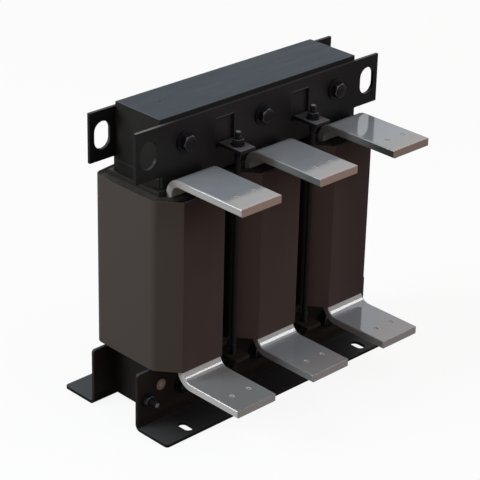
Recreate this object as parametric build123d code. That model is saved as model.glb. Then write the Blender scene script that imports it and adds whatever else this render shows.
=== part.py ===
from build123d import *
from math import acos, atan2, cos, hypot, radians, sin
import os

# Three-phase motor choke. Three coils stand side by side on the limbs of one laminated core,
# which folded steel sheets clamp from the front and the back.
# X runs along the core, -Y is the front with the bent bar terminals, +Z is up.
# The origin is on the floor, midway between the four feet. All sizes are in millimetres.

# Core: two yokes joined by three limbs, with a thin pad in each air gap
limb_pitch = 93.7
limb_width = 54.0
stack_depth = 57.5
yoke_height = 54.0
window_height = 182.5
core_lift = 3.5
gap_pad_thickness = 1.5

# Folded steel sheets
sheet_thickness = 3.0
fold_radius = 3.0
corner_radius = 3.0

# Upper clamps, one on each face of the upper yoke; the ears overhang the core at both ends
clamp_overhang = 29.2
clamp_body_inset = 0.5
clamp_top_below_core = 4.2
clamp_height = 59.3
ear_height = 46.8
ear_slot_width = 18.0
ear_slot_length = 26.0
ear_slot_from_end = 14.2

# Feet: one folded angle on each face of the lower yoke, which overhangs the core at both ends
foot_overhang = 27.6
foot_height = 57.3
foot_reach = 71.2
foot_slot_width = 9.0
foot_slot_length = 16.0
foot_slot_spacing = 228.0
foot_slot_from_edge = 13.2

# Tabs punched from the sheets and folded out, one pair for each tie rod
tab_width = 18.0
tab_reach = 61.5
tab_window_width = 22.0
tab_window_height = 28.0
clamp_tab_root = 20.7
foot_tab_root = 4.3
tie_rod_stand_off = 16.75

# Yoke bolts, metric 8
thread_diameter = 8.0
across_flats = 13.0
head_height = 5.3
nut_height = 6.5
thread_end = 5.0
wide_washer_diameter = 20.0
clearance_hole = 9.0
yoke_bolt_from_edge = 25.5
sleeve_wall = 1.0
sleeve_gap = 0.2

# Tie rods and earth screw, metric 6
small_thread_diameter = 6.0
small_across_flats = 10.0
small_head_height = 4.0
small_nut_height = 5.0
tie_rod_end = 6.2
small_washer_diameter = 12.0
small_clearance_hole = 7.0

# All fasteners
thread_gap = 0.2
thread_chamfer = 1.0
washer_thickness = 1.6

# Coils
coil_height = 166.4
coil_lift = 2.1
former_wall = 3.0
former_side_gap = 1.9
former_face_gap = 1.5
former_top_gap = 0.5
winding_build = 8.6
winding_inset = 0.8
back_bulge = 3.0
wrap_thickness = 1.1
wrap_gap = 0.3
packing_width = 46.0
packing_gap = 0.1

# Bar terminals: the start lead leaves at the top, the finish lead at the bottom
lead_width = 47.0
lead_thickness = 7.3
lead_edge_radius = 1.2
start_bend_radius = 9.0
start_lead_height = 243.8
start_lead_reach = 127.0
finish_bend_radius = 11.0
finish_lead_height = 51.1
finish_lead_reach = 128.1
finish_leg_below_coil_top = 4.0

# Earth screw on the left end of the front foot
earth_screw_from_end = 10.6
earth_screw_height = 29.0
earth_screw_end = 8.0

# Places worked out from the sizes above
limb_places = {"left": -limb_pitch, "centre": 0.0, "right": limb_pitch}
tie_rod_places = [-limb_pitch / 2, limb_pitch / 2]
core_half_length = limb_pitch + limb_width / 2
clamp_half_length = core_half_length + clamp_overhang
clamp_body_half_length = core_half_length - clamp_body_inset
foot_half_length = core_half_length + foot_overhang
core_face = stack_depth / 2
sheet_face = core_face + sheet_thickness
lower_yoke_top = core_lift + yoke_height
upper_yoke_bottom = lower_yoke_top + window_height
core_top = upper_yoke_bottom + yoke_height
clamp_top = core_top - clamp_top_below_core
clamp_bottom = clamp_top - clamp_height
upper_bolt_height = core_top - yoke_bolt_from_edge
lower_bolt_height = core_lift + yoke_bolt_from_edge
tie_rod_offset = sheet_face + tie_rod_stand_off
clamp_tab_fold = clamp_bottom + clamp_tab_root
foot_tab_fold = foot_height - foot_tab_root
clamp_tab_top = clamp_tab_fold + fold_radius + sheet_thickness
foot_tab_bottom = foot_tab_fold - fold_radius - sheet_thickness
sleeve_diameter = thread_diameter + 2 * (sleeve_gap + sleeve_wall)
yoke_bore = sleeve_diameter + 2 * sleeve_gap
former_half_width = limb_width / 2 + former_side_gap + former_wall
former_half_depth = core_face + former_face_gap + former_wall
former_top = clamp_bottom - former_top_gap
coil_bottom = lower_yoke_top + coil_lift
coil_top = coil_bottom + coil_height
winding_bottom = coil_bottom + winding_inset
winding_top = coil_top - winding_inset
start_lead_front = former_half_depth + lead_thickness
winding_front = start_lead_front + winding_build
finish_lead_front = winding_front + lead_thickness
finish_leg_end = coil_top - finish_leg_below_coil_top
earth_screw_x = -foot_half_length + earth_screw_from_end


def block(x_from, x_to, y_from, y_to, z_from, z_to):
    """A square-edged block between two corners."""
    size = (x_to - x_from, y_to - y_from, z_to - z_from)
    corner = Pos(x_from, y_from, z_from)
    return corner * Box(*size, align=(Align.MIN, Align.MIN, Align.MIN))


def along_y(x, y, z):
    """A plane whose normal points to the front, for what is bored or bolted through the core."""
    return Plane(origin=(x, y, z), x_dir=(1, 0, 0), z_dir=(0, -1, 0))


def rod(diameter, length):
    """A plain round rod standing on its base plane."""
    return Cylinder(diameter / 2, length, align=(Align.CENTER, Align.CENTER, Align.MIN))


def to_back(piece):
    """The same piece on the back of the core."""
    return mirror(piece, about=Plane.XZ)


# The core

def yoke(z_from, bolt_height):
    """One stack of long steel strips, bored for the three clamp bolts."""
    strips = block(-core_half_length, core_half_length, -core_face, core_face, z_from, z_from + yoke_height)
    for x in limb_places.values():
        strips -= along_y(x, core_face, bolt_height) * rod(yoke_bore, stack_depth)
    return strips


def limb(x):
    """One stack of short steel strips, standing between two air gaps."""
    half = limb_width / 2
    bottom = lower_yoke_top + gap_pad_thickness
    top = upper_yoke_bottom - gap_pad_thickness
    return block(x - half, x + half, -core_face, core_face, bottom, top)


def gap_pad(x, z_from):
    """The pad of glass laminate that keeps an air gap open."""
    half = limb_width / 2
    return block(x - half, x + half, -core_face, core_face, z_from, z_from + gap_pad_thickness)


# The folded sheets

def folded_tab(fold_height, up):
    """The side profile of a tab folded out of a sheet, at its fold; up is 1 or -1."""
    outer = fold_radius + sheet_thickness
    fold_y = -(sheet_face + fold_radius)
    far_z = fold_height + up * outer
    near_z = fold_height + up * fold_radius
    with BuildSketch(Plane.YZ) as profile:
        with BuildLine():
            TangentArc((-core_face, fold_height), (fold_y, far_z), tangent=(0, up))
            Line((fold_y, far_z), (-tab_reach, far_z))
            Line((-tab_reach, far_z), (-tab_reach, near_z))
            Line((-tab_reach, near_z), (fold_y, near_z))
            TangentArc((fold_y, near_z), (-sheet_face, fold_height), tangent=(1, 0))
            Line((-sheet_face, fold_height), (-core_face, fold_height))
        make_face()
    return extrude(profile.sketch, tab_width / 2, both=True)


def with_tabs(sheet, fold_height, up):
    """Cuts the windows of both tie-rod tabs in a front sheet and adds the folded tabs."""
    window_end = fold_height + up * tab_window_height
    bottom = min(fold_height, window_end)
    top = max(fold_height, window_end)
    half = tab_window_width / 2
    for x in tie_rod_places:
        sheet -= block(x - half, x + half, -sheet_face, -core_face, bottom, top)
        sheet += Pos(x, 0, 0) * folded_tab(fold_height, up)
        sheet -= Pos(x, -tie_rod_offset, bottom) * rod(small_clearance_hole, top - bottom)
    return sheet


def with_yoke_bolt_holes(sheet, height):
    """Bores a front sheet for the three bolts through the yoke."""
    for x in limb_places.values():
        sheet -= along_y(x, -core_face, height) * rod(clearance_hole, sheet_thickness)
    return sheet


def front_clamp():
    """The upper clamp: a flat sheet with a slotted ear at each end and two folded tabs."""
    ear_bottom = clamp_top - ear_height
    slot_x = clamp_half_length - ear_slot_from_end
    slot_z = ear_bottom + ear_height / 2
    with BuildSketch(Plane.XZ.offset(core_face)) as face:
        with BuildLine():
            Polyline(
                (-clamp_body_half_length, clamp_bottom),
                (clamp_body_half_length, clamp_bottom),
                (clamp_body_half_length, ear_bottom),
                (clamp_half_length, ear_bottom),
                (clamp_half_length, clamp_top),
                (-clamp_half_length, clamp_top),
                (-clamp_half_length, ear_bottom),
                (-clamp_body_half_length, ear_bottom),
                close=True,
            )
        make_face()
        inner_corners = face.vertices().filter_by(
            lambda corner: abs(corner.Z - ear_bottom) < 0.01 and abs(corner.X) < clamp_half_length - 1
        )
        fillet(inner_corners, corner_radius)
        with Locations((-slot_x, slot_z), (slot_x, slot_z)):
            SlotOverall(ear_slot_length, ear_slot_width, rotation=90, mode=Mode.SUBTRACT)
    sheet = extrude(face.sketch, sheet_thickness)
    sheet = with_yoke_bolt_holes(sheet, upper_bolt_height)
    return with_tabs(sheet, clamp_tab_fold, 1)


def foot_angle():
    """The lower sheet: an angle that clamps the yoke and turns out along the floor."""
    outer = fold_radius + sheet_thickness
    fold_y = -(sheet_face + fold_radius)
    with BuildSketch(Plane.YZ) as profile:
        with BuildLine():
            Line((-core_face, foot_height), (-core_face, outer))
            TangentArc((-core_face, outer), (fold_y, 0), tangent=(0, -1))
            Line((fold_y, 0), (-foot_reach, 0))
            Line((-foot_reach, 0), (-foot_reach, sheet_thickness))
            Line((-foot_reach, sheet_thickness), (fold_y, sheet_thickness))
            TangentArc((fold_y, sheet_thickness), (-sheet_face, outer), tangent=(1, 0))
            Line((-sheet_face, outer), (-sheet_face, foot_height))
            Line((-sheet_face, foot_height), (-core_face, foot_height))
        make_face()
    angle = extrude(profile.sketch, foot_half_length, both=True)
    top_corners = angle.edges().filter_by(Axis.Y).group_by(Axis.Z)[-1]
    toe_corners = angle.edges().filter_by(Axis.Z).group_by(Axis.Y)[0]
    angle = fillet(top_corners + toe_corners, corner_radius)
    slot_y = -(foot_reach - foot_slot_from_edge)
    for x in (-foot_slot_spacing / 2, foot_slot_spacing / 2):
        slot = SlotOverall(foot_slot_length, foot_slot_width, rotation=90)
        angle -= Pos(x, slot_y, 0) * extrude(slot, sheet_thickness)
    angle = with_yoke_bolt_holes(angle, lower_bolt_height)
    return with_tabs(angle, foot_tab_fold, -1)


def front_foot():
    """The front foot also carries the earth screw."""
    hole = rod(small_clearance_hole, sheet_thickness)
    return foot_angle() - along_y(earth_screw_x, -core_face, earth_screw_height) * hole


# The coils, drawn about a limb at X = 0

def tangent_point(corner, centre, radius):
    """Where a taut strip from an outside corner first touches a round corner on its right."""
    dx = corner[0] - centre[0]
    dy = corner[1] - centre[1]
    angle = atan2(dy, dx) + acos(radius / hypot(dx, dy))
    return (centre[0] + radius * cos(angle), centre[1] + radius * sin(angle))


def mirrored_outline(right_side):
    """A closed face from the points of its right side, mirrored to the left."""
    left_side = [(-x, y) for x, y in reversed(right_side)]
    return make_face(Polyline(*right_side, *left_side, close=True))


def wound_outline(build):
    """The outline of what is wound taut round the former and the start lead."""
    inner = mirrored_outline([
        (lead_width / 2, -start_lead_front),
        (former_half_width, -former_half_depth),
        (former_half_width, former_half_depth),
    ])
    if build == 0:
        return inner
    back = former_half_depth + build
    bulge = make_face([
        ThreePointArc((former_half_width, back), (0, back + back_bulge), (-former_half_width, back)),
        Line((-former_half_width, back), (former_half_width, back)),
    ])
    return offset(inner, build, kind=Kind.ARC) + bulge


def wrapped_outline():
    """The outline inside the outer wrap, pulled taut over the finish lead."""
    corner = (lead_width / 2, -(finish_lead_front + wrap_gap))
    round_centre = (former_half_width, -former_half_depth)
    side = tangent_point(corner, round_centre, winding_build)
    return wound_outline(winding_build) + mirrored_outline([corner, side, round_centre])


def standing(outline, z_from, z_to):
    """A flat outline raised between two heights."""
    return Pos(0, 0, z_from) * extrude(outline, z_to - z_from)


def former():
    """The square insulating tube that the coil is wound on."""
    outer = Rectangle(2 * former_half_width, 2 * former_half_depth)
    inner = Rectangle(2 * (former_half_width - former_wall), 2 * (former_half_depth - former_wall))
    return standing(outer - inner, lower_yoke_top, former_top)


def winding():
    """All the turns of foil, as one solid ring."""
    return standing(wound_outline(winding_build) - wound_outline(0), winding_bottom, winding_top)


def outer_wrap():
    """The hard outer wrap of the coil, open at both ends."""
    inner = wrapped_outline()
    return standing(offset(inner, wrap_thickness, kind=Kind.ARC) - inner, coil_bottom, coil_top)


def bent_bar(back, leg_end, bend_radius, flag_height, reach, up):
    """A flat bar with an upright leg and a flag to the front; up is 1 where the leg points down.

    back is the distance of the leg's back face behind the front, flag_height the flag's top face.
    """
    front = back + lead_thickness
    flag_far = flag_height if up == 1 else flag_height - lead_thickness
    flag_near = flag_far - up * lead_thickness
    bend_z = flag_near - up * bend_radius
    bend_y = -(front + bend_radius)
    with BuildSketch(Plane.YZ) as profile:
        with BuildLine():
            Line((-back, leg_end), (-back, bend_z))
            TangentArc((-back, bend_z), (bend_y, flag_far), tangent=(0, up))
            Line((bend_y, flag_far), (-reach, flag_far))
            Line((-reach, flag_far), (-reach, flag_near))
            Line((-reach, flag_near), (bend_y, flag_near))
            TangentArc((bend_y, flag_near), (-front, bend_z), tangent=(1, 0))
            Line((-front, bend_z), (-front, leg_end))
            Line((-front, leg_end), (-back, leg_end))
        make_face()
    bar = extrude(profile.sketch, lead_width / 2, both=True)
    return fillet(bar.faces().filter_by(Axis.X).edges(), lead_edge_radius)


def start_lead():
    """The bar under the first turn, bent forward above the coil."""
    return bent_bar(
        former_half_depth, winding_bottom, start_bend_radius, start_lead_height, start_lead_reach, 1
    )


def finish_lead():
    """The bar on the last turn, bent forward below the coil."""
    return bent_bar(
        winding_front, finish_leg_end, finish_bend_radius, finish_lead_height, finish_lead_reach, -1
    )


def packing_strip(side):
    """The strip that packs the former against its limb; side is 1 or -1."""
    middle = side * (limb_width / 2 + former_side_gap / 2)
    half = former_side_gap / 2 - packing_gap
    width = packing_width / 2
    return block(middle - half, middle + half, -width, width, lower_yoke_top, former_top)


# Fasteners, drawn upright on their base plane

def hexagon(flats, height):
    """A hexagon blank with its upper corners turned off at 30 degrees."""
    flat = flats / 2
    corner = flat / cos(radians(30))
    drop = (corner - flat) * sin(radians(30)) / cos(radians(30))
    blank = extrude(RegularPolygon(flat, 6, major_radius=False), height)
    turned = make_face(Plane.XZ * Polyline(
        (0, 0), (corner, 0), (corner, height - drop), (flat, height), (0, height), close=True
    ))
    return blank & revolve(turned, Axis.Z)


def nut(flats, height, thread):
    """A hexagon nut with a plain bore."""
    return hexagon(flats, height) - rod(thread + 2 * thread_gap, height)


def washer(diameter, hole):
    """A flat washer."""
    return rod(diameter, washer_thickness) - rod(hole, washer_thickness)


def screw(flats, head, thread, shank):
    """A hexagon screw, its head up and its shank below the base plane."""
    stem = rod(thread, shank)
    stem = chamfer(stem.edges().group_by(Axis.Z)[0], thread_chamfer)
    return hexagon(flats, head) + Pos(0, 0, -shank) * stem


def stud(thread, length):
    """A threaded rod chamfered at both ends."""
    stem = rod(thread, length)
    return chamfer(stem.edges().filter_by(GeomType.CIRCLE), thread_chamfer)


# Groups of like fasteners, each a set of separate solids

yoke_bolt_places = [(x, z) for z in (upper_bolt_height, lower_bolt_height) for x in limb_places.values()]


def yoke_bolts():
    """Six bolts through the yokes, their heads at the front."""
    seat = sheet_face + washer_thickness
    bolt = screw(across_flats, head_height, thread_diameter, 2 * seat + nut_height + thread_end)
    return [along_y(x, -seat, z) * bolt for x, z in yoke_bolt_places]


def yoke_bolt_washers():
    """A washer under each head and each nut of the yoke bolts."""
    ring = washer(wide_washer_diameter, clearance_hole)
    front = [along_y(x, -sheet_face, z) * ring for x, z in yoke_bolt_places]
    return front + [to_back(piece) for piece in front]


def yoke_bolt_nuts():
    """The nuts of the yoke bolts, at the back."""
    seat = sheet_face + washer_thickness
    piece = nut(across_flats, nut_height, thread_diameter)
    return [to_back(along_y(x, -seat, z) * piece) for x, z in yoke_bolt_places]


def yoke_bolt_sleeves():
    """The insulating tubes round the bolts inside the yokes."""
    tube = rod(sleeve_diameter, stack_depth) - rod(thread_diameter + 2 * sleeve_gap, stack_depth)
    return [along_y(x, core_face, z) * tube for x, z in yoke_bolt_places]


tie_rod_corners = [(x, y) for x in tie_rod_places for y in (-tie_rod_offset, tie_rod_offset)]
tie_rod_above_tab = washer_thickness + small_nut_height + tie_rod_end
tie_rod_top = clamp_tab_top + tie_rod_above_tab
tie_rod_bottom = foot_tab_bottom - tie_rod_above_tab


def tie_rods():
    """Four studs that pull the upper clamps and the feet together between the coils."""
    piece = stud(small_thread_diameter, tie_rod_top - tie_rod_bottom)
    return [Pos(x, y, tie_rod_bottom) * piece for x, y in tie_rod_corners]


def on_tabs(piece, stand_off):
    """One copy above each upper tab and one turned over below each lower tab."""
    turned = Rot(180, 0, 0) * piece
    above = [Pos(x, y, clamp_tab_top + stand_off) * piece for x, y in tie_rod_corners]
    below = [Pos(x, y, foot_tab_bottom - stand_off) * turned for x, y in tie_rod_corners]
    return above + below


def earth_screw():
    """The earth screw, put through the foot from behind."""
    shank = sheet_thickness + washer_thickness + small_nut_height + earth_screw_end
    from_behind = Plane(
        origin=(earth_screw_x, -core_face, earth_screw_height), x_dir=(1, 0, 0), z_dir=(0, 1, 0)
    )
    return from_behind * screw(small_across_flats, small_head_height, small_thread_diameter, shank)


small_nut = nut(small_across_flats, small_nut_height, small_thread_diameter)
small_washer = washer(small_washer_diameter, small_clearance_hole)
earth_washer_seat = along_y(earth_screw_x, -sheet_face, earth_screw_height)
earth_nut_seat = along_y(earth_screw_x, -sheet_face - washer_thickness, earth_screw_height)

parts = {
    "lower_yoke": yoke(core_lift, lower_bolt_height),
    "upper_yoke": yoke(upper_yoke_bottom, upper_bolt_height),
    "upper_front_clamp": front_clamp(),
    "upper_back_clamp": to_back(front_clamp()),
    "front_foot": front_foot(),
    "back_foot": to_back(foot_angle()),
    "yoke_bolts": Compound(yoke_bolts()),
    "yoke_bolt_washers": Compound(yoke_bolt_washers()),
    "yoke_bolt_nuts": Compound(yoke_bolt_nuts()),
    "yoke_bolt_sleeves": Compound(yoke_bolt_sleeves()),
    "tie_rods": Compound(tie_rods()),
    "tie_rod_washers": Compound(on_tabs(small_washer, 0)),
    "tie_rod_nuts": Compound(on_tabs(small_nut, washer_thickness)),
    "earth_screw": earth_screw(),
    "earth_washer": earth_washer_seat * small_washer,
    "earth_nut": earth_nut_seat * small_nut,
}
for name, x in limb_places.items():
    parts[f"limb_{name}"] = limb(x)
    parts[f"lower_gap_pad_{name}"] = gap_pad(x, lower_yoke_top)
    parts[f"upper_gap_pad_{name}"] = gap_pad(x, upper_yoke_bottom - gap_pad_thickness)
    parts[f"former_{name}"] = Pos(x, 0, 0) * former()
    parts[f"packing_strips_{name}"] = Pos(x, 0, 0) * Compound([packing_strip(-1), packing_strip(1)])
    parts[f"winding_{name}"] = Pos(x, 0, 0) * winding()
    parts[f"outer_wrap_{name}"] = Pos(x, 0, 0) * outer_wrap()
    parts[f"start_lead_{name}"] = Pos(x, 0, 0) * start_lead()
    parts[f"finish_lead_{name}"] = Pos(x, 0, 0) * finish_lead()

os.makedirs("parts", exist_ok=True)
for name, piece in parts.items():
    export_step(piece, f"parts/{name}.step")
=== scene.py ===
import math

import bmesh
import bpy
from mathutils import Matrix, Vector


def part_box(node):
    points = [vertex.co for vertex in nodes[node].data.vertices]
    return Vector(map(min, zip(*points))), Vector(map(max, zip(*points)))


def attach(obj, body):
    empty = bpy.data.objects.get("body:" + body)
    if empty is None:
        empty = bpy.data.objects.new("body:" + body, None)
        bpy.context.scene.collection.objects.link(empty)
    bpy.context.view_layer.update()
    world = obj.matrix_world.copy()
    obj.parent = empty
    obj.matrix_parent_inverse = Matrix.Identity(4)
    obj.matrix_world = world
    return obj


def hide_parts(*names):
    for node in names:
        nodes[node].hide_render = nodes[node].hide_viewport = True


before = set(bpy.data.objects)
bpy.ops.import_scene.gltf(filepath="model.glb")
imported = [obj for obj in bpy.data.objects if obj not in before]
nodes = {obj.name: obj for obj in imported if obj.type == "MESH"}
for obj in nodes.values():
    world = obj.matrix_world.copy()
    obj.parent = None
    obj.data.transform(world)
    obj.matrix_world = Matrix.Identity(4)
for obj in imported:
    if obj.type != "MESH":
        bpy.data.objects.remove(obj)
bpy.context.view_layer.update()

# The core: two yokes and three limbs, each a stack of electrical sheets in thin dark varnish.
# The sheets stand one behind the other, so their edges show as fine lines on the top and at
# the ends. The clamps press the stack together, and it is baked with the coils.

mm = 0.001
core_pieces = ["lower_yoke", "upper_yoke", "limb_left", "limb_centre", "limb_right"]
core_sheet_gauge = 0.5
outer_sheet_from = 28.2
front_shade_to = 6.0
clamps_end_at = 289.4
yoke_left_end = -120.2
lower_yoke_to = 62.0
limbs_from = 62.0
limbs_to = 236.0
dimple_place = (-93.3, 2.0)
dimple_radius = 1.9
dimple_depth = 0.9
sheet_edges_dark = (0.0105, 0.0082, 0.0070, 1.0)
sheet_edges_light = (0.0160, 0.0136, 0.0122, 1.0)
painted_shade_in_front = (0.0060, 0.0035, 0.0022, 1.0)
outer_sheet_colour = (0.0150, 0.0140, 0.0140, 1.0)
lower_yoke_colour = (0.0100, 0.0066, 0.0050, 1.0)
thick_varnish = (0.0025, 0.0025, 0.0030, 1.0)
varnish_and_painted_sky = (0.0080, 0.0205, 0.0345, 1.0)
painted_yoke_edge_highlight = (0.060, 0.058, 0.075, 1.0)
painted_rim_highlight = (0.06, 0.10, 0.12, 1.0)
painted_dimple_shade = (0.002, 0.002, 0.002, 1.0)


class Tone:
    """A value that changes over a piece, as a socket of its finish. Sums on it add Math nodes."""

    def __init__(self, tree, socket=None):
        self.tree = tree
        self.socket = socket

    def node(self, kind, settings, sockets, output=0):
        """Adds any node: its settings first, then the values or links of its sockets."""
        node = self.tree.nodes.new(kind)
        for name, value in settings.items():
            setattr(node, name, value)
        for name, value in sockets.items():
            if isinstance(value, Tone):
                self.tree.links.new(value.socket, node.inputs[name])
            else:
                node.inputs[name].default_value = value
        return Tone(self.tree, node.outputs[output])

    def math(self, operation, *values):
        """Adds a Math node on one, two or three values."""
        return self.node("ShaderNodeMath", {"operation": operation}, dict(enumerate(values)))

    def __add__(self, other):
        return self.math("ADD", self, other)

    def __radd__(self, other):
        return self.math("ADD", other, self)

    def __sub__(self, other):
        return self.math("SUBTRACT", self, other)

    def __rsub__(self, other):
        return self.math("SUBTRACT", other, self)

    def __mul__(self, other):
        return self.math("MULTIPLY", self, other)

    def __rmul__(self, other):
        return self.math("MULTIPLY", other, self)

    def __truediv__(self, other):
        return self.math("DIVIDE", self, other)

    def __rtruediv__(self, other):
        return self.math("DIVIDE", other, self)

    def __neg__(self):
        return self.math("SUBTRACT", 0, self)

    def __abs__(self):
        return self.math("ABSOLUTE", self)


def new_finish(name, plain):
    """A finish with its plain values set, and the place on the piece in millimetres."""
    finish = bpy.data.materials.new(name)
    finish.use_nodes = True
    shader = finish.node_tree.nodes["Principled BSDF"]
    for socket, value in plain.items():
        shader.inputs[socket].default_value = value
    metres = Tone(finish.node_tree).node("ShaderNodeTexCoord", {}, {}, "Object")
    place = metres.node("ShaderNodeVectorMath", {"operation": "SCALE"}, {"Vector": metres, "Scale": 1 / mm})
    return finish, place


def feed(finish, socket, tone):
    """Lets a tone drive one socket of the finish."""
    shader = finish.node_tree.nodes["Principled BSDF"]
    finish.node_tree.links.new(tone.socket, shader.inputs[socket])


def along(place, axis):
    """How far the place lies along X, Y or Z, in millimetres."""
    return place.node("ShaderNodeSeparateXYZ", {}, {"Vector": place}, axis)


def looks_along(place, axis):
    """How far the surface looks along X, Y or Z, from -1 to 1."""
    return along(place.node("ShaderNodeTexCoord", {}, {}, "Normal"), axis)


def from_spot(place, axes, spot):
    """How far the place lies from a spot, in millimetres, measured along two axes alone."""
    first = along(place, axes[0]) - spot[0]
    second = along(place, axes[1]) - spot[1]
    return place.math("SQRT", first * first + second * second)


def blotches(place, size, detail=2.0):
    """Soft spots about size millimetres wide, from 0 to 1."""
    return place.node("ShaderNodeTexNoise", {}, {"Vector": place, "Scale": 1 / size, "Detail": detail})


def stretched(place, x, y, z):
    """The place with its three lengths divided, so that spots on it are drawn out."""
    return place.node("ShaderNodeVectorMath", {"operation": "DIVIDE"}, {0: place, 1: (x, y, z)})


def rising(tone, low, high):
    """0 below low, 1 above high and smooth between."""
    limits = {"Value": tone, "From Min": low, "From Max": high}
    return tone.node("ShaderNodeMapRange", {"interpolation_type": "SMOOTHSTEP"}, limits)


def falling(tone, low, high):
    """1 below low, 0 above high and smooth between."""
    return 1 - rising(tone, low, high)


def ring_at(distance, radius, inwards, outwards):
    """1 at a radius, and 0 from so far inwards and so far outwards of it."""
    return rising(distance, radius - inwards, radius) * falling(distance, radius, radius + outwards)


def colour_between(tone, low, high):
    """The first colour where the tone is 0, the second where it is 1."""
    share, first, second, result = 0, 6, 7, 2
    sockets = {share: tone, first: low, second: high}
    return tone.node("ShaderNodeMix", {"data_type": "RGBA"}, sockets, result)


def relief(finish, height, edge_round):
    """Bumps of height millimetres, on edges that are rounded a little as real ones are."""
    edge = height.node("ShaderNodeBevel", {"samples": 6}, {"Radius": edge_round * mm})
    bump = height.node("ShaderNodeBump", {}, {"Height": height, "Distance": mm, "Normal": edge})
    feed(finish, "Normal", bump)


def dress(finish, names):
    """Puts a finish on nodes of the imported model."""
    for name in names:
        for slot in nodes[name].material_slots:
            slot.material = finish


core_varnish, place = new_finish("varnished_core_sheets", {"IOR": 1.4, "Specular IOR Level": 0.28})
across = along(place, "X")
depth = along(place, "Y")
height = along(place, "Z")
on_top = rising(looks_along(place, "Z"), 0.6, 0.95)

sheet_count = depth / core_sheet_gauge
sheet_number = depth.math("FLOOR", sheet_count)
sheet_middle = depth.math("PINGPONG", sheet_count, 0.5)
each_sheet = depth.node("ShaderNodeTexWhiteNoise", {"noise_dimensions": "1D"}, {"W": sheet_number})
runs = blotches(stretched(place, 9.0, 1.5, 9.0), 4.0)
edges_colour = colour_between(each_sheet * 0.5 + runs * 0.5, sheet_edges_dark, sheet_edges_light)

outer_sheet = rising(abs(depth), outer_sheet_from, outer_sheet_from + 0.2)
above_clamps = rising(height, clamps_end_at, clamps_end_at + 0.6)
# The limbs take thick varnish, and the same dark tone fades out 36 mm up the upper yoke, so its sides are
# darker towards its bottom.
limbs_and_low_upper_yoke = rising(height, limbs_from - 2, limbs_from) * falling(height, limbs_to, limbs_to + 36)
on_lower_yoke = falling(height, lower_yoke_to - 4, lower_yoke_to)
# Painted shade: the core's sheet edges darken towards its front.
front_shade = falling(depth, front_shade_to - 30, front_shade_to) * (1 - outer_sheet)
sides_colour = colour_between(outer_sheet, edges_colour, outer_sheet_colour)
sides_colour = colour_between(on_lower_yoke, sides_colour, lower_yoke_colour)
sides_colour = colour_between(outer_sheet * above_clamps + limbs_and_low_upper_yoke * 0.8, sides_colour, thick_varnish)
sides_colour = colour_between(front_shade * 0.6, sides_colour, painted_shade_in_front)

# The tops are lighter and bluish: partly varnish pooled there, partly a painted reflection of cool light
# from above.
varnish_colour = colour_between(on_top * (0.75 + runs * 0.4), sides_colour, varnish_and_painted_sky)
# Painted highlight along the left edge of the core's top faces.
highlight_at_end = on_top * falling(across, yoke_left_end, yoke_left_end + 1.8)
varnish_colour = colour_between(highlight_at_end, varnish_colour, painted_yoke_edge_highlight)
from_dimple = from_spot(place, "XY", dimple_place)
# The dimple's hollow is painted dark as shade, and a ring round it is painted light as a highlight.
dimple = on_top * falling(from_dimple, dimple_radius - 0.6, dimple_radius + 0.3)
rim = ring_at(from_dimple, dimple_radius, 0.5, 1.0)
varnish_colour = colour_between(on_top * rim * 0.7, varnish_colour, painted_rim_highlight)
feed(core_varnish, "Base Color", colour_between(dimple, varnish_colour, painted_dimple_shade))
feed(core_varnish, "Roughness", 0.34 + runs * 0.18 + (1 - on_top) * 0.16)
sheets_height = rising(sheet_middle, 0.0, 0.18) * 0.012 + each_sheet * 0.010 + runs * 0.05
relief(core_varnish, sheets_height - dimple * dimple_depth, 0.5)
dress(core_varnish, core_pieces)

# The formers, packing strips, gap pads and bolt sleeves: board and tube of dark brown laminate.
# The formers are square tubes that the coils are wound on. Strips wedge them on the limbs,
# the pads keep the air gaps open, and the sleeves keep the bolts clear of the yokes.

coils = ("left", "centre", "right")
laminate_dark = (0.010, 0.008, 0.007, 1.0)
laminate_light = (0.022, 0.016, 0.013, 1.0)
laminate_pieces = ["yoke_bolt_sleeves"]
for coil in coils:
    for piece in ("former", "packing_strips", "lower_gap_pad", "upper_gap_pad"):
        laminate_pieces.append(f"{piece}_{coil}")

laminate, place = new_finish("brown_laminate", {"IOR": 1.45, "Specular IOR Level": 0.35})
fibres = blotches(stretched(place, 0.5, 0.5, 5.0), 1.0, 3.0)
mottle = blotches(place, 14.0)
feed(laminate, "Base Color", colour_between(fibres * 0.6 + mottle * 0.4, laminate_dark, laminate_light))
feed(laminate, "Roughness", 0.42 + fibres * 0.2)
relief(laminate, fibres * 0.03, 0.3)
dress(laminate, laminate_pieces)

# The windings: turns of metal foil with a film of insulation between them, wound taut over
# the former and the start lead. The films are wider than the foil, so their edges stand out
# at both ends of a coil, set in dark varnish.

foil_turns = 14
film_thickness = 0.16 * mm
film_stands_out = 0.62 * mm
film_wave = 0.25
film_wave_along = 1.7
film_wave_by_turn = 2.3
lead_thickness = 7.3 * mm
slant = 50
corner_steps = 5
sharp_from = 35
first_lead_from = -112.0
lead_shade_to = -10.0
foil_ends_dark = (0.020, 0.018, 0.016, 1.0)
foil_ends_light = (0.042, 0.038, 0.035, 1.0)
film_dark = (0.034, 0.031, 0.028, 1.0)
film_light = (0.078, 0.071, 0.064, 1.0)
film_in_painted_lead_shadow = (0.007, 0.006, 0.005, 1.0)

winding_varnish, place = new_finish("varnished_foil_edges", {"IOR": 1.45, "Specular IOR Level": 0.3})
drips = blotches(place, 6.0)
feed(winding_varnish, "Base Color", colour_between(drips, foil_ends_dark, foil_ends_light))
feed(winding_varnish, "Roughness", 0.4 + drips * 0.25)
relief(winding_varnish, drips * 0.15, 0.2)
dress(winding_varnish, [f"winding_{coil}" for coil in coils])


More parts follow.
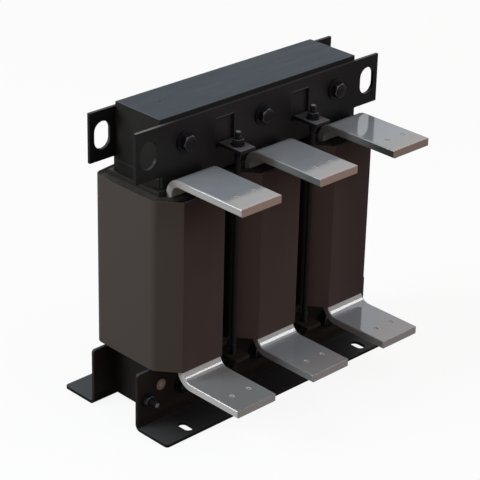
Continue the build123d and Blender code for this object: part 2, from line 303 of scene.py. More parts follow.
def new_piece(name, mesh, finish):
    """Shows a mesh in its finish and lets it move with the choke."""
    for face in mesh.polygons:
        face.use_smooth = True
    mesh.set_sharp_from_angle(angle=math.radians(sharp_from))
    piece = bpy.data.objects.new(name, mesh)
    bpy.context.scene.collection.objects.link(piece)
    piece.data.materials.append(finish)
    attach(piece, "root")
    return piece


def turn_line(coil, build):
    """The line of one turn, build metres out from the former and the start lead."""
    low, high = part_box(f"former_{coil}")
    lead_low, lead_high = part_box(f"start_lead_{coil}")
    wound_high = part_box(f"winding_{coil}")[1]
    full_build = high.x - wound_high.x
    back_bulge = (wound_high.y - high.y + full_build) * build / abs(full_build)
    front = low.y - lead_thickness
    corners = [
        ((lead_high.x, front), -90, -slant), ((high.x, low.y), -slant, 0),
        ((high.x, high.y), 0, 90), ((low.x, high.y), 90, 180),
        ((low.x, low.y), 180, 180 + slant), ((lead_low.x, front), 180 + slant, 270),
    ]
    line = []
    for (x, y), turn_from, turn_to in corners:
        for step in range(corner_steps + 1):
            angle = math.radians(turn_from + (turn_to - turn_from) * step / corner_steps)
            line.append(Vector((x + build * math.cos(angle), y + build * math.sin(angle), 0)))
        if turn_to == 90:
            middle = (low.x + high.x) / 2
            for step in range(1, 2 * corner_steps):
                share = 1 - step / corner_steps
                rise = back_bulge * (1 - share ** 2)
                line.append(Vector((middle + share * (high.x - middle), high.y + build + rise, 0)))
    return line


def film_edges(coil):
    """The edges of all the films of one coil, at its top and its bottom."""
    wound_low, wound_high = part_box(f"winding_{coil}")
    full_build = wound_high.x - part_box(f"former_{coil}")[1].x
    edges = bmesh.new()
    for turn in range(foil_turns):
        inside = turn_line(coil, full_build * (turn + 0.5) / foil_turns - film_thickness / 2)
        outside = turn_line(coil, full_build * (turn + 0.5) / foil_turns + film_thickness / 2)
        for foot, rise in ((wound_high.z, film_stands_out), (wound_low.z, -film_stands_out)):
            rings = []
            for number, (a, b) in enumerate(zip(inside, outside)):
                wave = math.sin(number * film_wave_along + turn * film_wave_by_turn)
                top = foot + rise * (1 - film_wave + film_wave * wave)
                rings.append([
                    edges.verts.new((a.x, a.y, foot)), edges.verts.new((a.x, a.y, top)),
                    edges.verts.new((b.x, b.y, top)), edges.verts.new((b.x, b.y, foot)),
                ])
            for ring, following in zip(rings, rings[1:] + rings[:1]):
                for side in range(3):
                    edges.faces.new((ring[side], following[side], following[side + 1], ring[side + 1]))
    bmesh.ops.recalc_face_normals(edges, faces=edges.faces)
    mesh = bpy.data.meshes.new(f"film_edges_{coil}")
    edges.to_mesh(mesh)
    edges.free()
    return mesh


film, place = new_finish("film_edges", {"IOR": 1.45, "Specular IOR Level": 0.3, "Roughness": 0.5})
film_colour = colour_between(blotches(place, 5.0), film_dark, film_light)
# Painted shadow of the leads on the film edges towards the coils' fronts.
by_leads = rising(along(place, "X"), first_lead_from, first_lead_from + 10)
by_leads = by_leads * falling(along(place, "Y"), lead_shade_to - 20, lead_shade_to)
feed(film, "Base Color", colour_between(by_leads * 0.8, film_colour, film_in_painted_lead_shadow))
for coil in coils:
    new_piece(f"film_edges_{coil}", film_edges(coil), film)

# The leads: flat aluminium bar, bent forward above and below the coils to make the terminals.
# The start lead lies under the first turn of foil and the finish lead on the last one, each
# welded to the foil. The bar is drawn, so fine lines run along it, and its ends are sawn.

start_leads = [f"start_lead_{coil}" for coil in coils]
finish_leads = [f"finish_lead_{coil}" for coil in coils]
left_coil_to = -65.0
right_coil_from = 40.0
start_leads_from = 200.0
finish_leads_to = 70.0
lead_ends_at = -127.0
side_light_from = 120.0
side_light_to = 180.0
punch_mark_radius = 1.7
punch_mark_depth = 0.55
punch_mark_behind_end = 22.0
punch_mark_sides = (-8.7, 11.7)
bar_dark = (0.365, 0.370, 0.376, 1.0)
bar_light = (0.420, 0.425, 0.431, 1.0)
top_painted_reflection_at_coil = (0.320, 0.345, 0.388, 1.0)
top_painted_reflection_at_end = (0.350, 0.332, 0.342, 1.0)
top_painted_reflection_at_cut = (0.395, 0.350, 0.338, 1.0)
top_painted_shade = (0.275, 0.272, 0.280, 1.0)
cut_end_painted_warm_light = (0.43, 0.315, 0.28, 1.0)
cut_end_painted_shade_right = (0.32, 0.245, 0.21, 1.0)
side_painted_shade_at_end = (0.180, 0.176, 0.176, 1.0)
side_painted_shade_at_end_right = (0.062, 0.060, 0.060, 1.0)
side_painted_shade_at_coil = (0.310, 0.310, 0.320, 1.0)
side_painted_shade_at_coil_right = (0.270, 0.270, 0.280, 1.0)
finish_lead_side_painted_shade = (0.300, 0.298, 0.302, 1.0)
side_painted_light_low = (0.64, 0.575, 0.57, 1.0)
side_painted_light_high = (0.50, 0.46, 0.455, 1.0)
burr_painted_glint = (0.85, 0.85, 0.86, 1.0)
burr_painted_dark_reflection = (0.10, 0.10, 0.105, 1.0)

bar_metal, place = new_finish("drawn_aluminium_bar", {"Metallic": 0.24, "IOR": 1.45})
drawn_lines = blotches(stretched(place, 0.25, 60.0, 60.0), 1.0, 3.0)
handling = blotches(place, 18.0)
bar_colour = colour_between(drawn_lines * 0.5 + handling * 0.5, bar_dark, bar_light)
across = along(place, "X")
ahead = along(place, "Y")
height = along(place, "Z")
on_left_coil = falling(across, left_coil_to - 10, left_coil_to)
on_right_coil = rising(across, right_coil_from, right_coil_from + 20)
on_start_leads = rising(height, start_leads_from, start_leads_from + 10)
upward = looks_along(place, "Z")
leftward = rising(-looks_along(place, "X"), 0.7, 0.95)
forward = rising(-looks_along(place, "Y"), 0.7, 0.95)

# Painted reflection on the leads' tops: bluish near the coils, lighter and warmer towards the sawn ends and
# at them.
towards_coil = rising(ahead, lead_ends_at + 15, lead_ends_at + 32)
at_cut = on_start_leads * falling(ahead, lead_ends_at + 1.5, lead_ends_at + 6)
top_painted_reflection = colour_between(towards_coil, top_painted_reflection_at_end, top_painted_reflection_at_coil)
top_painted_reflection = colour_between(at_cut, top_painted_reflection, top_painted_reflection_at_cut)
bar_colour = colour_between(rising(upward, 0.6, 0.95) * 0.9, bar_colour, top_painted_reflection)
# Painted warm light on the sawn front ends of the upper leads, dimmer on the right coil's.
cut_end_painted_light = colour_between(on_right_coil, cut_end_painted_warm_light, cut_end_painted_shade_right)
cut_end = forward * on_start_leads * falling(ahead, lead_ends_at + 3, lead_ends_at + 5)
bar_colour = colour_between(cut_end * 0.9, bar_colour, cut_end_painted_light)
# Painted shade on the left sides of the centre and right coils' leads, deepest towards the sawn ends and on
# the right coil.
side_end = colour_between(on_right_coil, side_painted_shade_at_end, side_painted_shade_at_end_right)
side_root = colour_between(on_right_coil, side_painted_shade_at_coil, side_painted_shade_at_coil_right)
side_painted_shade = colour_between(rising(ahead, lead_ends_at + 9, lead_ends_at + 55), side_end, side_root)
side_painted_shade = colour_between(on_start_leads, finish_lead_side_painted_shade, side_painted_shade)
bar_colour = colour_between(leftward * (1 - on_left_coil), bar_colour, side_painted_shade)
# Painted light on the left sides of the left coil's leads, brightest low down.
up_the_side = rising(height, side_light_from, side_light_to)
painted_edge_light = colour_between(up_the_side, side_painted_light_low, side_painted_light_high)
bar_colour = colour_between(leftward * on_left_coil, bar_colour, painted_edge_light)
# Painted shade on the top of the left coil's lower lead.
on_finish_leads = falling(height, finish_leads_to - 10, finish_leads_to)
top_in_painted_shade = on_left_coil * rising(upward, 0.7, 0.95) * on_finish_leads
bar_colour = colour_between(top_in_painted_shade, bar_colour, top_painted_shade)

marks = across * 0.0
burrs = across * 0.0
for lead in start_leads + finish_leads:
    low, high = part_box(lead)
    middle = (low.x + high.x) / 2 / mm
    mark_y = low.y / mm + punch_mark_behind_end
    for side in punch_mark_sides:
        distance = from_spot(place, "XY", (middle + side, mark_y))
        mark = falling(distance, 0.2, punch_mark_radius)
        burr = ring_at(distance, punch_mark_radius, 0.7, 0.7)
        marks = marks.math("MAXIMUM", marks, mark)
        burrs = burrs.math("MAXIMUM", burrs, burr)
# Painted glints on the punch marks' burrs: light on the left and centre coils' leads, a dark painted
# reflection on the right coil's.
burr_painted_reflection = colour_between(on_right_coil, burr_painted_glint, burr_painted_dark_reflection)
painted_burr_glints = burrs * (0.8 - on_start_leads * (1 - on_right_coil) * 0.45)
feed(bar_metal, "Base Color", colour_between(painted_burr_glints, bar_colour, burr_painted_reflection))
feed(bar_metal, "Roughness", 0.05 + handling * 0.03 + drawn_lines * 0.03)
relief(bar_metal, drawn_lines * 0.004 + burrs * 0.1 - marks * punch_mark_depth, 0.5)
dress(bar_metal, start_leads + finish_leads)

# The outer wraps: resin-rich glass tape in dark brown, pulled taut over the finish lead and
# baked hard, which gives each coil its flat front and its slanting corners. Its surface is
# smooth and satin, with a faint waviness.

wrap_pieces = [f"outer_wrap_{coil}" for coil in coils]
inner_sides_to = 84.0
left_end_to = -110.0
right_end_from = 60.0
front_darkens_from = 175.0
coil_top = 226.0
wrap_dark = (0.058, 0.042, 0.039, 1.0)
wrap_light = (0.070, 0.052, 0.048, 1.0)
painted_light_on_corners = (0.088, 0.061, 0.057, 1.0)
painted_shade_between_coils = (0.012, 0.009, 0.008, 1.0)
painted_sheen_at_left_end = (0.069, 0.054, 0.048, 1.0)
painted_lead_shadow_on_front = (0.026, 0.013, 0.011, 1.0)
painted_shade_at_right_end = (0.034, 0.024, 0.024, 1.0)

coil_wrap, place = new_finish("baked_coil_wrap", {"IOR": 1.4, "Specular IOR Level": 0.16})
slack = blotches(stretched(place, 1.0, 1.0, 2.2), 26.0)
tape = blotches(stretched(place, 3.0, 3.0, 0.5), 1.0, 3.0)
across = along(place, "X")
height = along(place, "Z")
rightward = looks_along(place, "X")
forward = rising(-looks_along(place, "Y"), 0.5, 0.9)

inner_sides = falling(abs(across), inner_sides_to - 8, inner_sides_to)
lit_corner = rising(abs(rightward), 0.4, 0.6) * falling(abs(rightward), 0.75, 0.95) * inner_sides
between_coils = rising(abs(rightward), 0.75, 1.0) * inner_sides
left_end = rising(-rightward, 0.4, 0.7) * falling(across, left_end_to - 5, left_end_to)
high_on_front = forward * rising(height, front_darkens_from, coil_top)
right_end = forward * rising(across, right_end_from, right_end_from + 60)
wrap_colour = colour_between(slack * 0.6 + tape * 0.4, wrap_dark, wrap_light)
# Painted light on the slanting corners between the coils.
wrap_colour = colour_between(lit_corner * 0.9, wrap_colour, painted_light_on_corners)
# Painted shade on the wraps' sides between the coils.
wrap_colour = colour_between(between_coils * 0.85, wrap_colour, painted_shade_between_coils)
# Painted sheen on the left coil's left side.
wrap_colour = colour_between(left_end * 0.8, wrap_colour, painted_sheen_at_left_end)
# Painted shadow of the upper leads on the coils' fronts, towards their tops.
wrap_colour = colour_between(high_on_front * 0.8, wrap_colour, painted_lead_shadow_on_front)
# Painted shade on the coils' fronts towards the right end.
wrap_colour = colour_between(right_end * 0.6, wrap_colour, painted_shade_at_right_end)
feed(coil_wrap, "Base Color", wrap_colour)
feed(coil_wrap, "Roughness", 0.40 + tape * 0.12)
relief(coil_wrap, slack * 0.5 + tape * 0.012, 0.35)
dress(coil_wrap, wrap_pieces)

# The folded sheets: two upper clamps with slotted ears and two feet, punched and folded from
# 3 mm steel and coated black, the clamps with more shine than the feet. They press the core
# from both faces, and their tabs are folded out of the windows for the tie rods.

window_middles = (-46.85, 46.85)
window_half_width = 11.0
window_top = 279.2
window_sides_to = 32.6
tab_from = 38.0
tab_to = 58.0
clamp_edge_from = 286.0
outer_coils_from = 60.0
left_front_highlight_to = -98.0
coat_dark = (0.0062, 0.0053, 0.0055, 1.0)
coat_light = (0.0084, 0.0074, 0.0076, 1.0)
coat_painted_shade_left_end = (0.0050, 0.0050, 0.0049, 1.0)
coat_painted_shade_right_end = (0.0010, 0.0011, 0.0014, 1.0)
tab_top_painted_sheen_at_fold = (0.040, 0.038, 0.038, 1.0)
tab_top_painted_sheen_at_end = (0.105, 0.098, 0.106, 1.0)
clamp_edge_painted_sheen = (0.030, 0.028, 0.028, 1.0)
clamp_edge_painted_highlight = (0.150, 0.140, 0.125, 1.0)
window_top_painted_highlight = (0.075, 0.062, 0.060, 1.0)
window_side_painted_light = (0.020, 0.018, 0.018, 1.0)

black_coat, place = new_finish("satin_black_coat", {"IOR": 1.4, "Specular IOR Level": 0.30})
orange_peel = blotches(place, 0.9, 1.0)
sheen = blotches(place, 30.0)
across = along(place, "X")
depth = along(place, "Y")
height = along(place, "Z")
upward = rising(looks_along(place, "Z"), 0.6, 0.95)
sideward = rising(abs(looks_along(place, "X")), 0.6, 0.9)

coat_colour = colour_between(sheen, coat_dark, coat_light)
left_end = falling(across, -outer_coils_from - 55, -outer_coils_from)
right_end = rising(across, outer_coils_from, outer_coils_from + 50)
# Painted shade on the clamps towards both ends, deepest at the right end.
coat_colour = colour_between(left_end, coat_colour, coat_painted_shade_left_end)
coat_colour = colour_between(right_end, coat_colour, coat_painted_shade_right_end)
# Painted sheen on the tabs' upward faces, lighter towards the tabs' ends.
tab_painted_sheen = colour_between(rising(abs(depth), tab_from, tab_to), tab_top_painted_sheen_at_fold, tab_top_painted_sheen_at_end)
on_tab_top = upward * falling(height, clamp_edge_from - 2, clamp_edge_from)
coat_colour = colour_between(on_tab_top, coat_colour, tab_painted_sheen)
# Painted sheen on the clamps' top edges, with a painted highlight towards the front clamp's left end.
left_front_highlight = falling(across, left_front_highlight_to - 30, left_front_highlight_to) * falling(depth, -5, 5)
painted_edge_light = colour_between(left_front_highlight, clamp_edge_painted_sheen, clamp_edge_painted_highlight)
on_clamp_edge = upward * rising(height, clamp_edge_from, clamp_edge_from + 2)
coat_colour = colour_between(on_clamp_edge, coat_colour, painted_edge_light)
for middle in window_middles:
    aside = abs(across - middle)
    within = falling(aside, window_half_width - 1, window_half_width)
    # Painted highlight along the window's top edge.
    at_top = rising(height, window_top - 0.3, window_top)
    at_top = at_top * falling(height, window_top + 0.9, window_top + 1.3)
    coat_colour = colour_between(within * at_top, coat_colour, window_top_painted_highlight)
    # Painted light on the window's shaded side walls.
    beside = falling(aside, window_half_width + 1, window_half_width + 2)
    in_sheet = falling(abs(depth), window_sides_to - 0.8, window_sides_to)
    coat_colour = colour_between(sideward * beside * in_sheet, coat_colour, window_side_painted_light)
feed(black_coat, "Base Color", coat_colour)
feed(black_coat, "Roughness", 0.38 + sheen * 0.1)
relief(black_coat, orange_peel * 0.02, 0.6)
dress(black_coat, ["upper_front_clamp", "upper_back_clamp"])

foot_left_end = -150.0
flange_to = 3.2
fold_to = 14.0
foot_edge_from = 54.5
foot_dark = (0.0095, 0.0062, 0.0048, 1.0)
foot_light = (0.0140, 0.0096, 0.0074, 1.0)
front_flange_painted_light_left = (0.049, 0.048, 0.049, 1.0)
front_flange_painted_light = (0.019, 0.018, 0.019, 1.0)
back_flange_painted_sky = (0.064, 0.069, 0.079, 1.0)
flange_edge_painted_shade = (0.0025, 0.0025, 0.0025, 1.0)
foot_top_edge_painted_highlight = (0.060, 0.062, 0.062, 1.0)
painted_shade_in_fold = (0.0015, 0.0015, 0.0015, 1.0)

foot_coat, place = new_finish("dulled_black_coat", {"IOR": 1.4, "Specular IOR Level": 0.25})
orange_peel = blotches(place, 0.9, 1.0)
dulling = blotches(place, 24.0)
across = along(place, "X")
height = along(place, "Z")
upward = rising(looks_along(place, "Z"), 0.6, 0.95)
at_back = rising(along(place, "Y"), -5, 5)
on_flange = falling(height, flange_to, flange_to + 0.4)
in_fold = rising(height, flange_to - 0.1, flange_to + 0.2) * falling(height, fold_to - 6, fold_to)

foot_colour = colour_between(dulling, foot_dark, foot_light)
# Painted light on the flanges' tops: strongest towards the front foot's left end, and a bluish painted
# reflection of cool light from above on the back foot's.
from_left_end = rising(across, foot_left_end, foot_left_end + 45)
flange_painted_light = colour_between(from_left_end, front_flange_painted_light_left, front_flange_painted_light)
flange_painted_light = colour_between(at_back, flange_painted_light, back_flange_painted_sky)
foot_colour = colour_between(upward * on_flange, foot_colour, flange_painted_light)
# Painted shade on the flanges' edge faces.
foot_colour = colour_between((1 - upward) * on_flange, foot_colour, flange_edge_painted_shade)
# Painted highlight along the feet's top edges.
on_top_edge = upward * rising(height, foot_edge_from, foot_edge_from + 2)
foot_colour = colour_between(on_top_edge, foot_colour, foot_top_edge_painted_highlight)
# Painted shade in the fold between each foot's upright and its flange.
foot_colour = colour_between(in_fold * 0.5, foot_colour, painted_shade_in_fold)
feed(foot_coat, "Base Color", foot_colour)
feed(foot_coat, "Roughness", 0.5 + dulling * 0.15 + in_fold * 0.35)
relief(foot_coat, orange_peel * 0.02, 0.6)
dress(foot_coat, ["front_foot", "back_foot"])

# The yoke bolts: six hexagon screws, metric 8, blackened and lightly oiled. Each goes through
# clamp or foot, yoke and clamp or foot again, with a wide washer under its head at the front
# and under its nut at the back. Spanners have rubbed the chamfers of heads and nuts bright.

bolt_flats = 13.0
bolt_thread = 8.0
bolt_pitch = 1.25
bolt_head_height = 5.3
bolt_thread_length = 22.0
bolt_turns = {"left": 4, "centre": 22, "right": 12}
back_nut_turn = 37
round_face_share = 0.465
shank_hole_share = 0.3
nut_hole_gap = 0.15
nut_countersink = 0.5
thread_depth_share = 0.61
thread_profile = ((0.0, "root"), (0.20, "root"), (0.50, "crest"), (0.65, "crest"))
thread_core_gap = 0.1
cut_end_depth = 0.4
centre_hole = 0.01
weld_distance = 0.02
hexagon_steps = 48
thread_steps = 20
plain_band = 0
rubbed_band = 1
sawn_band = 2
oiled_band = 3
black_dark = (0.006, 0.006, 0.008, 1.0)
black_light = (0.014, 0.014, 0.017, 1.0)
rubbed_dark = (0.040, 0.041, 0.045, 1.0)
rubbed_light = (0.085, 0.087, 0.094, 1.0)
sawn_dark = (0.15, 0.15, 0.16, 1.0)
sawn_light = (0.32, 0.32, 0.33, 1.0)
oiled_dark = (0.003, 0.003, 0.003, 1.0)
oiled_light = (0.007, 0.006, 0.006, 1.0)

black_steel, place = new_finish("blackened_steel", {
    "Metallic": 0.3, "IOR": 1.4, "Specular IOR Level": 0.25,
})
handled = blotches(place, 2.5, 3.0)
feed(black_steel, "Base Color", colour_between(handled, black_dark, black_light))
feed(black_steel, "Roughness", 0.3 + handled * 0.15)
relief(black_steel, handled * 0.01, 0.35)
rubbed_steel, place = new_finish("rubbed_steel", {"Metallic": 0.8, "IOR": 1.45})
rubbing = blotches(place, 1.2, 3.0)
feed(rubbed_steel, "Base Color", colour_between(rubbing, rubbed_dark, rubbed_light))
feed(rubbed_steel, "Roughness", 0.28 + rubbing * 0.12)
relief(rubbed_steel, rubbing * 0.006, 0.2)
sawn_steel, place = new_finish("sawn_steel", {"Metallic": 0.3, "IOR": 1.45})
saw_lines = blotches(stretched(place, 0.2, 4.0, 4.0), 1.0, 3.0)
feed(sawn_steel, "Base Color", colour_between(saw_lines, sawn_dark, sawn_light))
feed(sawn_steel, "Roughness", 0.3 + saw_lines * 0.2)
relief(sawn_steel, saw_lines * 0.01, 0.2)
oiled_steel, place = new_finish("oiled_steel", {"IOR": 1.4, "Specular IOR Level": 0.25})
oil = blotches(place, 6.0, 2.0)
feed(oiled_steel, "Base Color", colour_between(oil, oiled_dark, oiled_light))
feed(oiled_steel, "Roughness", 0.45 + oil * 0.2)
relief(oiled_steel, oil * 0.01, 0.2)


def round_ring(radius):
    """A ring of equal radii."""
    return [radius] * hexagon_steps


def hexagon_ring(flats):
    """The radii of a hexagon, from corner to corner."""
    ring = []
    for step in range(hexagon_steps):
        from_flat = math.radians((360 * step / hexagon_steps) % 60 - 30)
        ring.append(flats / 2 / math.cos(from_flat))
    return ring


def level(height):
    """A ring's heights, all the same."""
    return [height] * hexagon_steps


def chamfered(flats, height, sign):
    """The heights of a hexagon's corners, turned off at 30 degrees below or above a face."""
    drop = math.tan(math.radians(30))
    return [height - sign * (radius - round_face_share * flats) * drop for radius in hexagon_ring(flats)]


def add_rings(mesh, stand, rings, band_finishes):
    """Joins rings of radii and heights, in millimetres, with one band of faces from each to the next."""
    loops = []
    for radii, heights in rings:
        loop = []
        for step, (radius, height) in enumerate(zip(radii, heights)):
            angle = 2 * math.pi * step / hexagon_steps
            spot = Vector((radius * math.cos(angle), radius * math.sin(angle), height)) * mm
            loop.append(mesh.verts.new(stand @ spot))
        loops.append(loop)
    for loop, following, finish_number in zip(loops, loops[1:], band_finishes):
        for step in range(hexagon_steps):
            after = (step + 1) % hexagon_steps
            face = mesh.faces.new((loop[step], loop[after], following[after], following[step]))
            face.material_index = finish_number


def add_head(mesh, stand, flats, height):
    """A bolt head on its seat, its top chamfer rubbed bright."""
    rings = [
        (round_ring(centre_hole), level(height)), (round_ring(round_face_share * flats), level(height)),
        (hexagon_ring(flats), chamfered(flats, height, 1)), (hexagon_ring(flats), level(0.0)),
        (round_ring(shank_hole_share * flats), level(0.0)),
    ]
    add_rings(mesh, stand, rings, (plain_band, rubbed_band, plain_band, plain_band))


def add_nut(mesh, stand, flats, height, thread):
    """A nut on its seat, chamfered at both faces and countersunk at its thread."""
    hole = round_ring(thread / 2 + nut_hole_gap)
    countersink = round_ring(thread / 2 + nut_hole_gap + nut_countersink)
    face = round_ring(round_face_share * flats)
    rings = [
        (hole, level(nut_countersink)), (countersink, level(0.0)),
        (face, level(0.0)), (hexagon_ring(flats), chamfered(flats, 0.0, -1)),
        (hexagon_ring(flats), chamfered(flats, height, 1)), (face, level(height)),
        (countersink, level(height)), (hole, level(height - nut_countersink)),
        (hole, level(nut_countersink)),
    ]
    add_rings(mesh, stand, rings, [plain_band] * 4 + [rubbed_band] + [plain_band] * 3)


def add_thread(mesh, stand, thread, pitch, low, high):
    """A rolled thread between two heights, run out to a chamfer, with its cut ends bare."""
    radii = {"crest": thread / 2, "root": thread / 2 - thread_depth_share * pitch}
    core = radii["root"] - thread_core_gap
    rows = []
    row_count = int((high - low) / pitch + 1) * thread_steps
    for row in range(row_count + thread_steps + 1):
        angle = 2 * math.pi * row / thread_steps
        line = []
        for share, part in thread_profile:
            height = low + pitch * (row / thread_steps + share - 1)
            height = min(max(height, low), high)
            radius = min(radii[part], core + (high - height), core + (height - low))
            spot = Vector((radius * math.cos(angle), radius * math.sin(angle), height)) * mm
            line.append(mesh.verts.new(stand @ spot))
        rows.append(line)
    for row in range(row_count + thread_steps):
        here = rows[row]
        after = rows[row + 1]
        for side in range(3):
            mesh.faces.new((here[side], after[side], after[side + 1], here[side + 1]))
    for row in range(row_count):
        turn = row + thread_steps
        mesh.faces.new((rows[row][3], rows[row + 1][3], rows[turn + 1][0], rows[turn][0]))
    for height, outward in ((low, -1), (high, 1)):
        rings = [
            (round_ring(centre_hole), level(height)), (round_ring(core), level(height)),
            (round_ring(core), level(height - outward * cut_end_depth)),
        ]
        add_rings(mesh, stand, rings, (sawn_band, plain_band))


def finished_mesh(name, mesh):
    """Welds the doubled points of a mesh and turns its faces outwards."""
    bmesh.ops.remove_doubles(mesh, verts=mesh.verts, dist=weld_distance * mm)
    bmesh.ops.recalc_face_normals(mesh, faces=mesh.faces)
    data = bpy.data.meshes.new(name)
    mesh.to_mesh(data)
    mesh.free()
    return data


def fastener_set(name, mesh, stands_for):
    """Shows a set of like fasteners in place of their node."""
    piece = new_piece(name, finished_mesh(name, mesh), black_steel)
    for finish in (rubbed_steel, sawn_steel, oiled_steel):
        piece.data.materials.append(finish)
    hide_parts(stands_for)


def facing(direction, seat, turn):
    """The stand of a fastener: its axis to the front, back, up or down from its seat."""
    tilts = {"front": 90, "back": -90, "up": 0, "down": 180}
    tilt = Matrix.Rotation(math.radians(tilts[direction]), 4, "X")
    return Matrix.Translation(seat) @ tilt @ Matrix.Rotation(math.radians(turn), 4, "Z")


bolts = bmesh.new()
nuts = bmesh.new()
low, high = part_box("yoke_bolts")
nut_low, nut_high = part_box("yoke_bolt_nuts")
bolt_seat = low.y + bolt_head_height * mm
nut_height = (nut_high.y - nut_low.y) / mm
shank_end = (bolt_seat - high.y) / mm
thread_start = shank_end + bolt_thread_length
shank = round_ring(bolt_thread / 2)
for coil, turn in bolt_turns.items():
    limb_low, limb_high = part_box(f"limb_{coil}")
    x = (limb_low.x + limb_high.x) / 2
    for z in (high.z - bolt_flats / 2 * mm, low.z + bolt_flats / 2 * mm):
        stand = facing("front", Vector((x, bolt_seat, z)), turn)
        add_head(bolts, stand, bolt_flats, bolt_head_height)
        add_rings(bolts, stand, [(shank, level(0.0)), (shank, level(thread_start))], [plain_band])
        add_thread(bolts, stand, bolt_thread, bolt_pitch, shank_end, thread_start + 1)
        nut_stand = facing("back", Vector((x, nut_low.y, z)), turn + back_nut_turn)
        add_nut(nuts, nut_stand, bolt_flats, nut_height, bolt_thread)
fastener_set("threaded_yoke_bolts", bolts, "yoke_bolts")
fastener_set("chamfered_yoke_nuts", nuts, "yoke_bolt_nuts")
dress(black_steel, ["yoke_bolt_washers"])

# The tie rods: four blackened studs between the coils, metric 6, sawn to length. Each has a
# washer and a nut above the upper tab and below the lower one, which pull the tabs together.

rod_thread = 6.0
rod_pitch = 1.0
rod_flats = 10.0
rod_thread_length = 26.0
rod_core = 5.3
rod_nut_height = 5.0
rod_nut_turns = (45, 38, 12, 27)
lower_nut_turn = 20

studs = bmesh.new()
nuts = bmesh.new()
low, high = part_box("tie_rods")
nut_low, nut_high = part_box("tie_rod_nuts")
rod_length = (high.z - low.z) / mm
rod_radius = rod_thread / 2 * mm
rod_places = []
for y in (low.y + rod_radius, high.y - rod_radius):
    for x in (low.x + rod_radius, high.x - rod_radius):
        rod_places.append((x, y))
waist = round_ring(rod_core / 2)
waist_ends = (rod_thread_length - 1, rod_length - rod_thread_length + 1)
for (x, y), turn in zip(rod_places, rod_nut_turns):
    stand = facing("up", Vector((x, y, low.z)), 0)
    add_thread(studs, stand, rod_thread, rod_pitch, 0.0, rod_thread_length)
    add_thread(studs, stand, rod_thread, rod_pitch, rod_length - rod_thread_length, rod_length)
    add_rings(studs, stand, [(waist, level(height)) for height in waist_ends], [oiled_band])
    top_seat = Vector((x, y, nut_high.z - rod_nut_height * mm))
    bottom_seat = Vector((x, y, nut_low.z + rod_nut_height * mm))
    add_nut(nuts, facing("up", top_seat, turn), rod_flats, rod_nut_height, rod_thread)
    add_nut(nuts, facing("down", bottom_seat, turn + lower_nut_turn), rod_flats, rod_nut_height, rod_thread)
fastener_set("threaded_tie_rods", studs, "tie_rods")
fastener_set("chamfered_tie_rod_nuts", nuts, "tie_rod_nuts")
dress(black_steel, ["tie_rod_washers"])

# The earth screw: a screw put through the left end of the front foot from behind, with a
# washer and a nut, and its free end left for the earth lead.

screw_head_height = 4.0
earth_nut_turn = 9

screws = bmesh.new()
nuts = bmesh.new()
low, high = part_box("earth_screw")
nut_low, nut_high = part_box("earth_nut")
middle = (low + high) / 2
screw_seat = Vector((middle.x, high.y - screw_head_height * mm, middle.z))
stand = facing("back", screw_seat, 0)
add_head(screws, stand, rod_flats, screw_head_height)
add_thread(screws, stand, rod_thread, rod_pitch, (low.y - screw_seat.y) / mm, 0.0)
nut_stand = facing("front", Vector((middle.x, nut_high.y, middle.z)), earth_nut_turn)
add_nut(nuts, nut_stand, rod_flats, (nut_high.y - nut_low.y) / mm, rod_thread)
fastener_set("threaded_earth_screw", screws, "earth_screw")
fastener_set("chamfered_earth_nut", nuts, "earth_nut")
dress(black_steel, ["earth_washer"])

# The sticker: a plain round of pale paper on the front foot beside the earth screw, pressed on
# after the coating. Its brown edge and its faint ring are printed.

sticker_radius = 6.25
sticker_ring = 3.6
sticker_thickness = 0.22
sticker_crown = 0.3
sticker_rings = (0.35, 0.7, 0.96, 1.0)
sticker_place = Vector((-120.3, -31.75, 37.8))
paper_colour = (0.51, 0.415, 0.32, 1.0)
ring_colour = (0.20, 0.13, 0.09, 1.0)
edge_colour = (0.050, 0.022, 0.012, 1.0)

paper, place = new_finish("sticker_paper", {"IOR": 1.45, "Specular IOR Level": 0.3, "Roughness": 0.55})
from_centre = from_spot(place, "XZ", (sticker_place.x, sticker_place.z))
edge_print = rising(from_centre, sticker_radius - 1.5, sticker_radius - 0.9)
ring_print = ring_at(from_centre, sticker_ring, 1.2, 1.2)
mottled = blotches(place, 2.0, 3.0)
face_tone = colour_between(ring_print * 0.8 + mottled * 0.2, paper_colour, ring_colour)
feed(paper, "Base Color", colour_between(edge_print, face_tone, edge_colour))
relief(paper, mottled * 0.01, 0.1)

sticker = bmesh.new()
stand = facing("front", sticker_place * mm, 0)
rings = [(round_ring(centre_hole), level(sticker_thickness))]
for share in sticker_rings:
    bulge = 1 + sticker_crown - sticker_crown * share
    rings.append((round_ring(sticker_radius * share), level(sticker_thickness * bulge)))
rings.append((round_ring(sticker_radius), level(0.0)))
rings.append((round_ring(centre_hole), level(0.0)))
add_rings(sticker, stand, rings, [plain_band] * 6)
new_piece("round_sticker", finished_mesh("round_sticker", sticker), paper)

# The studio: a pale floor, a white background and soft light from behind at the left, from
# above and from the front, with a small lamp at the right for the bends of the leads. The
# camera stands where the photograph was taken, front left and above.

camera_azimuth = math.radians(44.528)
camera_elevation = math.radians(25.942)
camera_roll = math.radians(1.445)
camera_distance = 1766.76 * mm
camera_aims_at = Vector((1.10, -5.24, 133.91)) * mm
camera_lens = 142.56
camera_film_width = 36
white = (1.0, 1.0, 1.0, 1.0)
room_light = (0.325, 0.288, 0.258, 1.0)
floor_seen_by_choke = (0.31, 0.285, 0.27, 1.0)
floor_half = 3.0
floor_white_in_view = 0.9
floor_white_in_gloss = 0.1

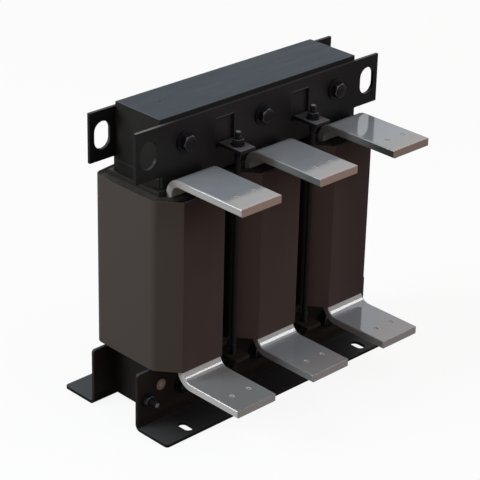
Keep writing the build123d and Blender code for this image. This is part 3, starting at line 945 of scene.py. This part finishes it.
towards_camera = Vector((
    -math.sin(camera_azimuth) * math.cos(camera_elevation),
    -math.cos(camera_azimuth) * math.cos(camera_elevation),
    math.sin(camera_elevation),
))
camera = bpy.data.objects.new("camera", bpy.data.cameras.new("camera"))
camera.data.lens = camera_lens
camera.data.sensor_width = camera_film_width
upright = towards_camera.to_track_quat("Z", "Y").to_matrix().to_4x4()
camera.matrix_world = (
    Matrix.Translation(camera_aims_at + towards_camera * camera_distance)
    @ upright @ Matrix.Rotation(camera_roll, 4, "Z")
)
bpy.context.scene.collection.objects.link(camera)
bpy.context.scene.camera = camera


def how_seen(tree):
    """1 for rays straight from the camera, and 1 for rays that come off gloss or through glass."""
    ray = Tone(tree)
    straight = ray.node("ShaderNodeLightPath", {}, {}, "Is Camera Ray")
    mirrored = ray.node("ShaderNodeLightPath", {}, {}, "Is Glossy Ray")
    through = ray.node("ShaderNodeLightPath", {}, {}, "Is Transmission Ray")
    return straight, mirrored + through


world = bpy.data.worlds.new("white_studio")
bpy.context.scene.world = world
world.use_nodes = True
straight, reflected = how_seen(world.node_tree)
room = colour_between(straight.math("MINIMUM", straight + reflected, 1.0), room_light, white)
world.node_tree.links.new(room.socket, world.node_tree.nodes["Background"].inputs["Color"])

floor_corners = [(-floor_half, -floor_half, 0), (floor_half, -floor_half, 0),
                 (floor_half, floor_half, 0), (-floor_half, floor_half, 0)]
floor_mesh = bpy.data.meshes.new("floor")
floor_mesh.from_pydata(floor_corners, [], [(0, 1, 2, 3)])
floor = bpy.data.objects.new("floor", floor_mesh)
bpy.context.scene.collection.objects.link(floor)
floor_paint = new_finish("pale_floor", {"Roughness": 0.9, "Specular IOR Level": 0.0})[0]
tree = floor_paint.node_tree
straight, reflected = how_seen(tree)
feed(floor_paint, "Base Color", colour_between(straight, floor_seen_by_choke, white))
bright = straight.node("ShaderNodeEmission", {}, {"Color": white, "Strength": 1.0})
lit = Tone(tree, tree.nodes["Principled BSDF"].outputs["BSDF"])
white_share = straight * floor_white_in_view + reflected * floor_white_in_gloss
shown = straight.node("ShaderNodeMixShader", {}, {0: white_share, 1: lit, 2: bright})
tree.links.new(shown.socket, tree.nodes["Material Output"].inputs["Surface"])
floor.data.materials.append(floor_paint)


def soft_lamp(name, place, aims_at, width, watts, tint):
    """A square lamp with a soft screen."""
    lamp = bpy.data.objects.new(name, bpy.data.lights.new(name, "AREA"))
    lamp.data.color = tint
    lamp.data.size = width
    lamp.data.energy = watts
    lamp.location = place
    lamp.rotation_euler = (Vector(place) - Vector(aims_at)).to_track_quat("Z", "Y").to_euler()
    bpy.context.scene.collection.objects.link(lamp)


soft_lamp("key_lamp", (-1.90, 0.95, 1.15), (0, 0, 0.15), 1.2, 41, (0.80, 0.965, 1.0))
soft_lamp("top_lamp", (0.2, -1.1, 2.1), (0, 0, 0.15), 1.5, 9.5, (0.76, 0.89, 1.0))
soft_lamp("front_lamp", (0.6, -2.1, 0.55), (0, 0, 0.15), 1.0, 3.6, (1.0, 0.55, 0.45))
soft_lamp("bend_lamp", (1.6, -1.15, 1.55), (0, 0, 0.1), 0.75, 8, (1.0, 0.96, 0.92))
bpy.context.scene.view_settings.view_transform = "Standard"
